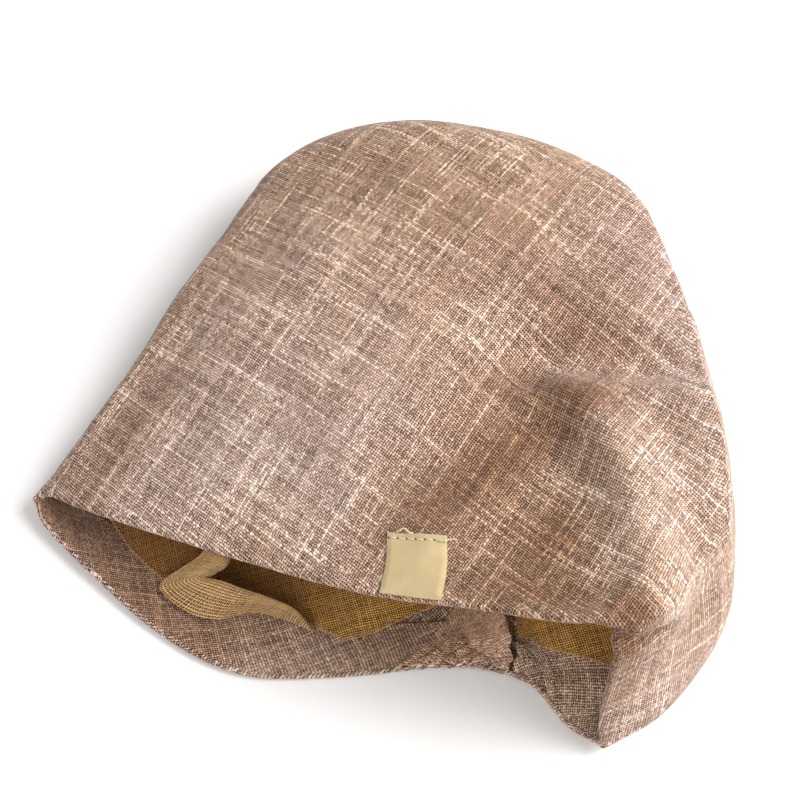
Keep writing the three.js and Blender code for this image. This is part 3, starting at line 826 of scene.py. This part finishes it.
def slub_cloth(name, tone=1.0, slubs=1.0, brown=0.0, cover=0.54):
    """The shell's cloth: mauve-brown yarns, browner in broad patches, with cream slubs, and painted
    shade and light.
    """
    material, tree, shader = new_material(name)
    tones = place_group(tree, cloth_tones, Brown=brown)
    broad = patches(tree, 9.0, 3, 0.35, 0.65)
    # The yarns' dyed colours times tone, which brightens them as painted light where a piece lies in
    # shade inside the mouth.
    dyed_and_lit = lambda *colour: tuple(tone * value for value in colour) + (1,)
    dark = tint(tree, broad, dyed_and_lit(0.33, 0.19, 0.135), dyed_and_lit(0.28, 0.155, 0.08))
    light = tint(tree, broad, dyed_and_lit(0.92, 0.64, 0.51), dyed_and_lit(0.84, 0.55, 0.37))
    dark, light, cream = (
        product(tree, colour, tones["Color"]) for colour in (dark, light, dyed_and_lit(0.9, 0.73, 0.6))
    )
    # The gaps between the yarns hold painted shade, lighter and fewer where the mauve places paint
    # sheen.
    woven = place_group(
        tree, weave, Yarns=yarn_map(tree), Yarn_A=dark, Yarn_B=light, Slub=cream, Slubs=slubs,
        Gap=tint(tree, tones["Mauve"], (0.02, 0.009, 0.004, 1), (0.13, 0.07, 0.055, 1)),
        Pitch=0.00096, Cover=calc(tree, "MULTIPLY_ADD", tones["Mauve"], 0.1, cover),
    )
    fill(
        tree, shader, Base_Color=woven["Color"], Normal=bump(tree, woven["Height"], 0.0004, 1.0),
        Roughness=between(tree, woven["Slub"], 0, 1, 0.92, 0.8), Specular_IOR_Level=0.25,
        Sheen_Weight=0.25, Sheen_Roughness=0.45, Sheen_Tint=(1.0, 0.93, 0.9, 1),
    )
    return material


crown_shell.data.materials.append(slub_cloth("slub_cloth"))
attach(crown_shell, "root")
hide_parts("crown_shell")

# Hem facing. A strip of the shell's own cloth, 30 mm deep, which lines the hem inside and stops
# short of the elastic casing at the nape. Its outer edge butts against the turned hem, and its
# inner edge is overlocked to the net. At the right it ends beside the open slit in a soft hump.
FACING_DEPTH = 30
SLIT = (42.2, 0.069)  # column of the slit at the hem, and how far it leans for each millimetre in
SLIT_WIDTH = (0.1, 0.009)  # its width in columns there, and how much it opens for each millimetre
CASING_END = 46.05  # column where casing and facing meet at the left
FLUSH = 2 * HEM_ROLL  # depth under the outside of a strip that lies flush with the turned hem
STRIP_BACK = 1.75  # depth of a strip's hidden side
BIAS = math.radians(40)  # the angle at which the strips are cut
FACING_HUMP = 3.0  # how far its end stands out beside the slit
HUMP = 0.5  # spread of the humps at the slit, in columns


def slab(name, top, under, yarns):
    """A thin closed piece: its two faces as grids of points, joined round the border."""
    rows, columns = top.shape[:2]
    number = np.arange(rows * columns).reshape(rows, columns)
    second = number + rows * columns
    quad = lambda n: np.stack([n[:-1, :-1], n[1:, :-1], n[1:, 1:], n[:-1, 1:]], -1).reshape(-1, 4)
    ring = np.concatenate([number[0, :-1], number[:-1, -1], number[-1, :0:-1], number[:0:-1, 0]])
    after = np.roll(ring, -1)
    wall = np.stack([ring, after, after + rows * columns, ring + rows * columns], -1)
    quads = np.concatenate([quad(number), quad(second)[:, ::-1], wall])
    points = (np.concatenate([top.reshape(-1, 3), under.reshape(-1, 3)]) - MIDDLE) * MM
    loops = np.concatenate([yarns.reshape(-1, 2)] * 2)[quads]
    piece = cloth_object(name, points, quads, loops.reshape(-1, 2))
    piece.data.set_sharp_from_angle(angle=math.radians(60))
    return piece


def arc_length(line):
    """Length along a row of points, from its start."""
    return np.concatenate([[0], np.cumsum(np.linalg.norm(np.diff(line, axis=0), axis=-1))])


def beneath(column, inward, depth):
    """Points of the bag at a column, millimetres in from the hem, and a depth under the outside."""
    return ply(column / COLUMNS, inward / BAG_DEPTH, depth)


def strip_grid(inward, first, last, count):
    """Columns, and millimetres in from the hem, of a strip's points. Each row runs evenly from
    its first to its last column."""
    share = np.linspace(0, 1, count)
    inward = np.repeat(inward[:, None], count, 1)
    return first * (1 - share) + last * share, inward


def strip(name, columns, inward, swell):
    """A strip of the cloth that stands out by its swell, and its face's points. It is cut on the
    bias: its yarn coordinates are its length and depth, turned by that angle."""
    face = beneath(columns, inward, FLUSH + swell)
    along, deep = np.meshgrid(arc_length(face[len(face) // 2]), inward[:, 0])
    cosine, sine = math.cos(BIAS), math.sin(BIAS)
    yarns = np.stack([along * cosine - deep * sine, along * sine + deep * cosine], -1) * MM
    return slab(name, face, beneath(columns, inward, STRIP_BACK + 0.9 * swell), yarns), face


facing_rows = np.concatenate([[TURNED_IN - 0.05, 2.6, 4], np.linspace(6, FACING_DEPTH, 15)])
facing_end = SLIT[0] - SLIT_WIDTH[0] + (SLIT[1] - SLIT_WIDTH[1]) * facing_rows[:, None]
columns, inward = strip_grid(facing_rows, CASING_END + 0.01 - COLUMNS, facing_end, 420)
hump = FACING_HUMP * np.exp(-(((facing_end - columns) / HUMP) ** 2))
hump = hump * np.clip((inward - 3) / 6, 0, 1) * np.clip((24 - inward) / 8, 0, 1)
slack = 0.5 + 0.5 * ripple(beneath(columns, inward, 2.5), 17, 21)
slack = np.clip((inward - 2) / 12, 0, 1) * 1.1 * slack + hump
in_front = np.abs(np.mod(columns / COLUMNS + 0.25, 1) - 0.5) < 0.25
slack *= np.where(in_front, 0.5, 1)
slack *= np.clip((columns - CASING_END + COLUMNS) / 1.4, 0, 1)  # level with the casing's end
facing, facing_face = strip("turned_facing", columns, inward, slack)
across_x = facing_face[..., 0]
# The facing's tone: painted shade, a little everywhere and browner towards its left end, and painted
# light, paler from the middle to the right where it lies under the front's overhang, with less of that
# light at the far right for the shade where it meets the cuff.
facing_tone = 0.25 + 0.6 * np.clip((-50 - across_x) / 40, 0, 1)
facing_tone -= 1.5 * np.clip((across_x - 20) / 20, 0, 1)
facing_tone += 0.7 * np.clip((across_x - 56) / 12, 0, 1)
give(facing, "tone", np.concatenate([facing_tone, facing_tone]))
# This copy of the cloth is brightened all over as painted light, and made a touch browner as painted
# shade.
facing.data.materials.append(slub_cloth("facing_cloth", 1.12, 0.7, 0.05, 0.6))
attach(facing, "root")
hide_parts("hem_facing")

# Nape casing. A doubled strip of the cloth, gathered over a narrow elastic at the nape. The
# gathers are tight at the hem and die out towards the crown, where the casing stands slack.
CASING_FOLD = (43.3936, 0.074, 0.16)  # column of its slanting fold at the hem, lean and spread
CASING_HUMP = 4.8  # how far its end stands out beside the slit
casing_rows = np.concatenate([[TURNED_IN - 0.05, 2.6, 3.6], np.linspace(5, 41, 40)])
casing_start = SLIT[0] + SLIT[1] * casing_rows[:, None]
columns, inward = strip_grid(casing_rows, casing_start, CASING_END - 0.01, 150)
tight = 1 / (1 + (inward / 7) ** 4)
hump = CASING_HUMP * np.exp(-(((columns - casing_start) / HUMP) ** 2)) * np.minimum(1, inward / 12)
from_fold = columns - CASING_FOLD[0] - CASING_FOLD[1] * inward
diagonal = np.clip((inward - 8) / 8, 0, 1) * np.exp(-((from_fold / CASING_FOLD[2]) ** 2))
loft = np.sin(np.pi * np.clip((inward - 8) / 42, 0, 1))
loft *= np.clip((CASING_END - columns) / 1.6, 0, 1) ** 1.5
swell = tight * (0.5 + 0.5 * gathers(columns)) * np.clip((inward - 1.5) / 2.5, 0, 1)
creased = ripple(np.stack([columns * 9, inward, 0 * inward], -1), 14, 41)
swell += 3.0 * loft + hump - 1.3 * diagonal + 0.5 * loft * creased
swell *= np.clip((CASING_END - columns) / 0.5, 0, 1)
casing = strip("gathered_casing", columns, inward, np.maximum(swell, 0))[0]
# This copy of the cloth is brightened all over as painted light, by its tone and its wider yarns,
# since the casing lies in the front panel's shade, and tinted browner all over as painted shade.
casing.data.materials.append(slub_cloth("casing_cloth", 1.3, 0.4, 0.4, 0.8))
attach(casing, "root")
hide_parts("nape_casing")

# Net lining. A loose bag of fine golden net that hangs inside the shell. Its edge laps over the
# facing, and a slack band of it has slipped forward at the left and folded back on itself.
NET_DEPTH = 3.3  # how far under the outside the net hangs before it sags
NET = 0.45  # its thickness
PLEATS = (46.5, 5)  # column where its pleats are deepest, and how many columns they reach from it
NET_EDGE = dict(  # depth in from the hem where the net's edge lies, by column
    column=[
        0, 28, 34, 37, 39.6, 40.6, 41.7, 42.9, 43.2, 44.24, 46.4, 47.4, 47.9, 48.5, 48.9, 49.95,
        51.2, 51.9, 52.6, 53.9, 55.5, 57.5, 61, 64,
    ],
    depth=[
        27, 27, 28, 30, 28, 23.7, 19.4, 19, 20, 37, 38.5, 30.6, 24.1, 21.7, 24.1, 29.5,
        29.1, 26, 24, 22, 23.7, 31.8, 29, 27,
    ],
)
NET_BAND = dict(  # outer edge x0 y0 z0 and folded inner edge x1 y1 z1 of the slipped band
    station=[-0.25, 0, 0.12, 0.19, 0.25, 0.31, 0.42, 0.55, 0.75, 0.9, 1],
    x0=[-68, -72.7, -81.9, -87.1, -88.4, -85.7, -76.8, -67.5, -51.9, -40.1, -31.6],
    y0=[-64, -77.8, -80.5, -81.8, -83.7, -87.1, -93.4, -95.8, -93.4, -96.9, -100.9],
    z0=[25, 22, 14.3, 9.3, 6.5, 5.7, 6, 6, 6, 6, 6],
    x1=[-59, -63, -66.6, -69.2, -71, -69.4, -64.4, -57.9, -45.3, -37, -31.3],
    y1=[-68, -81.9, -83.3, -84.2, -84.6, -85.2, -86.3, -88.3, -91.7, -95.2, -100.7],
    z1=[27, 24, 21.3, 19.4, 18.2, 18.4, 18.5, 17, 14, 11, 6.5],
)
CURL = 0.6  # radius of the band's curled edge
net_up = np.concatenate([np.linspace(0, 1, 70)[:-1] ** 1.15, [0.99, 1]])[:, None]
edge = through(NET_EDGE["column"], NET_EDGE["depth"], turns * COLUMNS) / BAG_DEPTH
net_rise = edge + (1 - edge) * net_up
past_edge = (net_rise - edge) * BAG_DEPTH
net_place = ply(turns, net_rise, NET_DEPTH)
over = np.clip(np.sin(2 * np.pi * turns) * 3, 0, 1)
loose = np.clip(past_edge / 40, 0, 1) * np.clip((1 - net_rise) * 12, 0, 1)
sag = loose * (1.2 + over * (4 + 1.5 * ripple(net_place, 42, 31)))
sag += loose * (1 - over) * np.maximum(0, 2.2 + 3.4 * ripple(net_place, 30, 33))
pleated = np.clip(1 - ((turns * COLUMNS - PLEATS[0]) / PLEATS[1]) ** 2, 0, 1)
pleats = pleated * np.sin(turns * COLUMNS * 7 + 9 * net_rise)
sag += 0.9 * pleats * np.clip(past_edge / 4, 0, 1) * np.exp(-(net_rise - edge) * 6)
net_outer = ply(turns, net_rise, NET_DEPTH + sag)
net_inner = ply(turns, net_rise, NET_DEPTH + NET + sag)


def band_point(t, v):
    """The band's surface: straight between its two edges, bulged up by a sine between them, and
    past the inner edge curled down and back under itself by a half circle."""
    line = lambda key: through(NET_BAND["station"], NET_BAND[key], t)
    first, second = (np.stack([line(axis + end) for axis in "xyz"], -1) for end in "01")
    w = np.minimum(v, 1)[..., None]
    curl = np.clip(v - 1, 0, 1) * np.pi * 0.9
    width = np.linalg.norm(second - first, axis=-1)
    size = np.minimum(CURL, 0.25 * width)
    out = (second - first) / np.maximum(width, 1)[..., None]
    p = first + (second - first) * w
    p += out * (size * np.sin(curl))[..., None]
    arch = np.sin(np.pi * w[..., 0])
    p[..., 2] += 1.2 * arch * np.sqrt(size / CURL) - 2.2 * size * (1 - np.cos(curl))
    puckers = np.sin(2 * np.pi * 34 * t + 2 * np.sin(17 * t))
    p[..., 2] += 0.28 * np.clip(1 - ((t - 0.52) / 0.2) ** 2, 0, 1) * puckers * arch
    return p


band_t, band_v = np.meshgrid(np.linspace(-0.25, 1, 260), np.linspace(0, 2, 30))
band_top = band_point(band_t, band_v)
side = unit(np.cross(np.gradient(band_top, axis=1), np.gradient(band_top, axis=0)))
upwards = np.sign(side[:15, 60:120, 2].mean())  # 1 where the band's face looks up, or else -1
band_under = band_top - side * NET * upwards
band_yarns = np.stack([band_t * 76, band_v * 10.4], -1) * MM  # its stretched length and width
net_rows = np.concatenate([net_outer[::-1], net_inner])
net_order = np.interp(net_rise, rises, np.arange(len(rises)))
net_order = np.concatenate([net_order[::-1], net_order])
net_grain = np.stack([counted(panels, math.radians(k), 0, 0) for k in (76, -14)], -1) * MM
# Painted shade on the net bag, darker towards its left side inside the mouth.
shade = -np.clip(-(net_rows[..., 0] + 10) / 60, 0, 1)
net = bag_mesh("net_bag", net_rows, at_rows(net_grain, net_order), dict(tone=shade))
band = slab("net_band", band_top, band_under, band_yarns)
give(band, "tone", np.ones(len(band.data.vertices)))  # paler, as it lies doubled


def join(*pieces):
    """One object of several meshes, under the first one's name."""
    with bpy.context.temp_override(active_object=pieces[0], selected_editable_objects=pieces):
        bpy.ops.object.join()
    return pieces[0]


net = join(net, band)


def golden_net(name):
    """Fine net: thin golden threads in a square mesh, half open between them, with painted shade in
    the openings. It is paler where the tone attribute is above 0, and darker below it, as painted
    shade."""
    material, tree, shader = new_material(name)
    tone = attribute(tree, "tone")
    bag = tint(tree, patches(tree, 40.0, 2, 0.3, 0.7), (0.82, 0.42, 0.08, 1), (0.94, 0.51, 0.12, 1))
    darker = calc(tree, "MULTIPLY", tone, -1.0, clamp=True)
    bag = tint(tree, darker, bag, product(tree, bag, (0.55, 0.44, 0.3, 1)))
    paler = calc(tree, "MAXIMUM", tone, 0.0)
    woven = place_group(
        tree, weave, Yarns=yarn_map(tree), Pitch=0.00085, Cover=0.44, Slubs=0.0, Wander=0.2,
        Yarn_A=tint(tree, paler, bag, (0.84, 0.51, 0.2, 1)),
        Yarn_B=tint(tree, paler, bag, (0.65, 0.38, 0.13, 1)),
        Gap=(0.08, 0.03, 0.005, 1),
    )
    fill(
        tree, shader, Base_Color=woven["Color"], Normal=bump(tree, woven["Height"], 0.0002, 0.7),
        Alpha=between(tree, woven["Gap"], 0.4, 0.9, 1.0, 0.5), Roughness=0.6, Sheen_Weight=0.2,
    )
    return material


net.data.materials.clear()
net.data.materials.append(golden_net("golden_net"))
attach(net, "root")
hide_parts("net_lining")

# Label. A bare tab of cream woven tape on the front of the hat, which hangs down to the hem. It is
# sewn on along its top only, so its sides and its foot lie loose on the cloth.
LABEL_SIZE = (21, 25)  # its width and depth as the tape's yarns are counted
LABEL = 0.9  # its thickness
LABEL_LEFT = (15.83, 17.03)  # columns of its left side at the top and at the hem
LABEL_RIGHT = (17.37, 18.77)
LABEL_TOP = (31.8, 34.6)  # millimetres in from the hem of its top edge, left and right
LABEL_FOOT = (0.3, 0.6)
LABEL_GRID = (40, 46)
STITCHES = 6
STITCH_START = 0.05  # the first stitch's start, as a share of the label's width
STITCH_LENGTH = 0.105  # a stitch's length, in the same way
STITCH_STEP = 0.153  # from the start of one to the start of the next
STITCH_LINE = 0.075  # the row's place down the label, as a share of its depth
across, down = np.meshgrid(*(np.linspace(0, 1, count) for count in LABEL_GRID))
left, right = (side[0] * (1 - down) + side[1] * down for side in (LABEL_LEFT, LABEL_RIGHT))
label_column = left + (right - left) * across
top, foot = (edge[0] * (1 - across) + edge[1] * across for edge in (LABEL_TOP, LABEL_FOOT))
label_up = top * (1 - down) + foot * down
cockle = 0.45 * np.sin(3.1 * across + 2.2 * down) * across * (1 - down * 0.6)
stitched = 0.35 * np.exp(-(((down - STITCH_LINE) / 0.03) ** 2))
rounded = np.minimum(1, 14 * np.minimum(np.minimum(across, 1 - across), np.minimum(down, 1 - down)))
lift = 0.25 + cockle + 0.5 * np.clip(down - 0.25, 0, 1)
label_top = beneath(label_column, label_up, -lift - LABEL * (0.45 + 0.55 * rounded) + stitched)
label_under = beneath(label_column, label_up, -lift * 0.6)
label_yarns = np.stack([across * LABEL_SIZE[0], down * LABEL_SIZE[1]], -1) * MM
label = slab("woven_label", label_top, label_under, label_yarns)


def cream_tape(name):
    """Tightly woven cream tape with a soft shine, a little soiled in patches, and with painted shade
    in the small holes between the stitches, by the distance from the middle of each hole."""
    material, tree, shader = new_material(name)
    soiled = patches(tree, 160.0, 3, 0.3, 0.75)
    woven = place_group(
        tree, weave, Yarns=yarn_map(tree), Pitch=0.00032, Cover=0.98, Slubs=0.15, Wander=0.3,
        Yarn_A=tint(tree, soiled, (0.53, 0.43, 0.235, 1), (0.46, 0.365, 0.19, 1)),
        Yarn_B=(0.49, 0.38, 0.205, 1), Slub=(0.68, 0.57, 0.36, 1), Gap=(0.34, 0.24, 0.11, 1),
    )
    x, y = parts(tree, yarn_map(tree))
    width, depth = (size * MM for size in LABEL_SIZE)
    from_stitch = calc(tree, "SUBTRACT", x, (STITCH_START + STITCH_LENGTH / 2) * width)
    phase = calc(tree, "FRACT", calc(tree, "DIVIDE", from_stitch, STITCH_STEP * width))
    aside = calc(tree, "MULTIPLY", calc(tree, "SUBTRACT", phase, 0.5), STITCH_STEP * width)
    below = calc(tree, "SUBTRACT", y, STITCH_LINE * depth)
    squares = [calc(tree, "MULTIPLY", way, way) for way in (aside, below)]
    away = calc(tree, "SQRT", calc(tree, "ADD", *squares))
    # painted shade in each needle hole, darkest at its middle
    pierced = between(tree, away, 0.0003, 0.00055, 0.85, 0.0)
    fill(
        tree, shader, Base_Color=tint(tree, pierced, woven["Color"], (0.07, 0.04, 0.02, 1)),
        Normal=bump(tree, woven["Height"], 0.0001, 0.6), Roughness=0.7,
    )
    return material


label.data.materials.append(cream_tape("label_tape"))
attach(label, "root")
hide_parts("front_label")

# Label stitches. A row of short straight stitches in cream thread, 2 mm under the label's top
# edge, each pulled down into the tape at both ends, with a cut end left at either side.


def thread(path, radius, sides=6):
    """Points and faces of a round thread: a circle carried along a path, closed at both ends by
    a smaller ring and a cap. Each circle stands across the path's own direction there."""
    way = unit(np.gradient(path, axis=0))
    side = unit(np.cross(way, [0.21, 0.34, 0.92]))  # any direction that no path here runs in
    other = np.cross(way, side)
    angle = (np.arange(sides) * 2 * np.pi / sides)[:, None]
    taper = np.ones((len(path), 1, 1))
    taper[[0, -1]] = 0.35
    ring = np.cos(angle) * side[:, None] + np.sin(angle) * other[:, None]
    points = path[:, None] + ring * radius * taper
    number = np.arange(len(path) * sides).reshape(len(path), sides)
    after = np.roll(number, -1, 1)
    quads = np.stack([number[:-1], number[1:], after[1:], after[:-1]], -1).reshape(-1, 4)
    caps = [number[0].tolist(), number[-1, ::-1].tolist()]
    return points.reshape(-1, 3), quads.tolist() + caps


def thread_object(name, paths, radius, material):
    """One object of several threads."""
    points, faces = [], []
    for path in paths:
        p, f = thread(path, radius)
        faces += [[k + sum(map(len, points)) for k in face] for face in f]
        points.append(p)
    mesh = bpy.data.meshes.new(name)
    mesh.from_pydata((np.concatenate(points) - MIDDLE) * MM, [], faces)
    mesh.shade_smooth()
    mesh.materials.append(material)
    piece = bpy.data.objects.new(name, mesh)
    bpy.context.scene.collection.objects.link(piece)
    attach(piece, "root")


def spun_thread(name, colour, dark):
    """Sewing thread: two plies twisted together, as fine slanting bands."""
    material, tree, shader = new_material(name)
    node = tree.nodes.new("ShaderNodeTexWave")
    node.bands_direction = "DIAGONAL"
    fill(tree, node.inputs, Vector=on_piece(tree), Scale=900)
    plies = node.outputs["Fac"]
    fill(
        tree, shader, Base_Color=tint(tree, plies, dark, colour),
        Normal=bump(tree, plies, 0.0001, 0.6), Roughness=0.75,
    )
    return material


cream_thread = spun_thread("cream_thread", (0.82, 0.74, 0.56, 1), (0.5, 0.42, 0.28, 1))


def on_label(across, down, height):
    """A point over the label's face: across and down are shares of its width and depth."""
    column, row = (share * (count - 1) for share, count in zip((across, down), LABEL_GRID))
    out = np.cross(label_top[0, -1] - label_top[0, 0], label_top[0, 0] - label_top[-1, 0])
    return read_grid(label_top, row, column) + height[..., None] * unit(out)


stitch_paths = []
step = np.linspace(0, 1, 9)
arch = 0.3 * np.sin(np.pi * step) ** 0.6 - 0.12
for k in range(STITCHES):
    start = STITCH_START + k * STITCH_STEP
    line = STITCH_LINE + 0.004 * (k % 2)
    stitch_paths.append(on_label(start + STITCH_LENGTH * step, line + 0 * step, arch))
step = np.linspace(0, 1, 16)
swirl = np.stack([5 * step, 1.1 * np.sin(5.5 * step) + 0.6 * step, 0.4 + 0.5 * np.sin(3 * step)], -1)
tail = np.stack([6.5 * step, -0.9 * step - 0.4 * np.sin(6 * step), 0.4 + 1.1 * step], -1)
for place, loose_end in (([0.2, 0.0, 0.4], swirl), ([0.86, STITCH_LINE, 0.35], tail)):
    stitch_paths.append(on_label(*np.array(place)) + loose_end)
thread_object("label_stitches", stitch_paths, 0.24, cream_thread)

# Overlock. A golden thread zigzags over the net's edge and sews it to the facing. Only the two
# stretches that can be seen inside the mouth are made.
golden_thread = spun_thread("golden_thread", (0.66, 0.45, 0.22, 1), (0.4, 0.25, 0.1, 1))


def overlock(first, last, count):
    """A zigzag of that many points along the net's edge between two columns, 0.7 mm to either
    side of it."""
    column = np.linspace(first, last, count * 6)
    inward = through(NET_EDGE["column"], NET_EDGE["depth"], column)
    zigzag = np.abs(np.mod(np.arange(len(column)) / 6, 1) - 0.5) * 4 - 1
    return beneath(column, inward + 0.7 * zigzag + 0.5, NET_DEPTH + NET + 0.35)


overlocks = [overlock(33, 43, 62), overlock(46.6, 60, 80)]
thread_object("overlock_thread", overlocks, 0.17, golden_thread)
